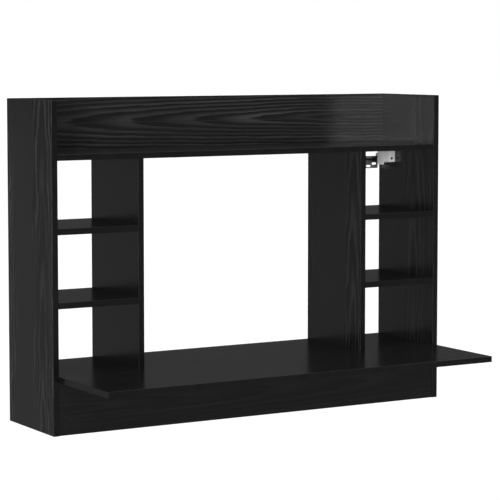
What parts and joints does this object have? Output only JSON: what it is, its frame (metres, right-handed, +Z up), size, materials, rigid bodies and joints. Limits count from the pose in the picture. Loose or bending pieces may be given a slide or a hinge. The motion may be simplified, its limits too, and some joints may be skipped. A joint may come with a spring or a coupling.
{
  "type": "wall-mounted desk",
  "caption": "Wall-hung black oak-grain desk with side bays of open shelves, a long top shelf with a back rail, a deep tabletop over an apron, and adjustable hangers on wall plates.",
  "frame": {"origin": "on the wall plane, at the middle of the upper back rail's back face", "axes": "+X to the user's right along the desk's length, +Y into the wall, +Z up"},
  "size_m": [1.2, 0.55, 0.8581],
  "materials": {
    "black_oak": "semi-gloss black oak-grain laminate",
    "beech": "plain fluted beech, hidden in the joints",
    "zinc_steel": "bright zinc",
    "cap_plastic": "matte black",
    "hanger_plastic": "satin light grey",
    "hanger_steel": "zinc-plated steel"
  },
  "bodies": {
    "carcass": {"left_side_panel": "black_oak", "right_side_panel": "black_oak", "left_divider": "black_oak", "right_divider": "black_oak", "top_shelf": "black_oak", "upper_back_rail": "black_oak", "tabletop": "black_oak", "front_apron": "black_oak", "left_upper_shelf": "black_oak", "left_lower_shelf": "black_oak", "right_upper_shelf": "black_oak", "right_lower_shelf": "black_oak", "cam_bolts": "zinc_steel", "cam_locks": "zinc_steel", "dowels": "beech", "cam_caps": "cap_plastic", "left_hanger_housing": "hanger_steel", "left_hanger_cover": "hanger_plastic", "left_hanger_screws": "hanger_steel", "right_hanger_housing": "hanger_steel", "right_hanger_cover": "hanger_plastic", "right_hanger_screws": "hanger_steel"},
    "left_carriage": {"left_hanger_carriage": "hanger_steel"},
    "left_hook": {"left_hanger_hook": "hanger_steel", "left_wall_plate": "hanger_steel"},
    "left_depth_adjuster": {"left_depth_screw": "hanger_steel"},
    "left_height_adjuster": {"left_height_screw": "hanger_steel"},
    "right_carriage": {"right_hanger_carriage": "hanger_steel"},
    "right_hook": {"right_hanger_hook": "hanger_steel", "right_wall_plate": "hanger_steel"},
    "right_depth_adjuster": {"right_depth_screw": "hanger_steel"},
    "right_height_adjuster": {"right_height_screw": "hanger_steel"}
  },
  "joints": [
    {"name": "left_hook_depth", "type": "slide", "parent": "carcass", "child": "left_carriage", "axis": [0, 1, 0], "range_m": [0, 0.01]},
    {"name": "left_hook_height", "type": "slide", "parent": "left_carriage", "child": "left_hook", "axis": [0, 0, 1], "range_m": [-0.006, 0.006]},
    {"name": "left_depth_screw_turn", "type": "hinge", "parent": "carcass", "child": "left_depth_adjuster", "pos_m": [-0.574, -0.0791, -0.11725], "axis": [0, 1, 0], "range_deg": [-3600, 0]},
    {"name": "left_height_screw_turn", "type": "hinge", "parent": "left_carriage", "child": "left_height_adjuster", "pos_m": [-0.574, -0.033, -0.13195], "axis": [0, 0, 1], "range_deg": [-2700, 2700]},
    {"name": "right_hook_depth", "type": "slide", "parent": "carcass", "child": "right_carriage", "axis": [0, 1, 0], "range_m": [0, 0.01]},
    {"name": "right_hook_height", "type": "slide", "parent": "right_carriage", "child": "right_hook", "axis": [0, 0, 1], "range_m": [-0.006, 0.006]},
    {"name": "right_depth_screw_turn", "type": "hinge", "parent": "carcass", "child": "right_depth_adjuster", "pos_m": [0.574, -0.0791, -0.11725], "axis": [0, 1, 0], "range_deg": [-3600, 0]},
    {"name": "right_height_screw_turn", "type": "hinge", "parent": "right_carriage", "child": "right_height_adjuster", "pos_m": [0.574, -0.033, -0.13195], "axis": [0, 0, 1], "range_deg": [-2700, 2700]}
  ],
  "couplings": [
    {"joint": "left_depth_screw_turn", "follows": "left_hook_depth", "rad_per_m": -6283.2},
    {"joint": "left_height_screw_turn", "follows": "left_hook_height", "rad_per_m": -7854},
    {"joint": "right_depth_screw_turn", "follows": "right_hook_depth", "rad_per_m": -6283.2},
    {"joint": "right_height_screw_turn", "follows": "right_hook_height", "rad_per_m": -7854}
  ]
}
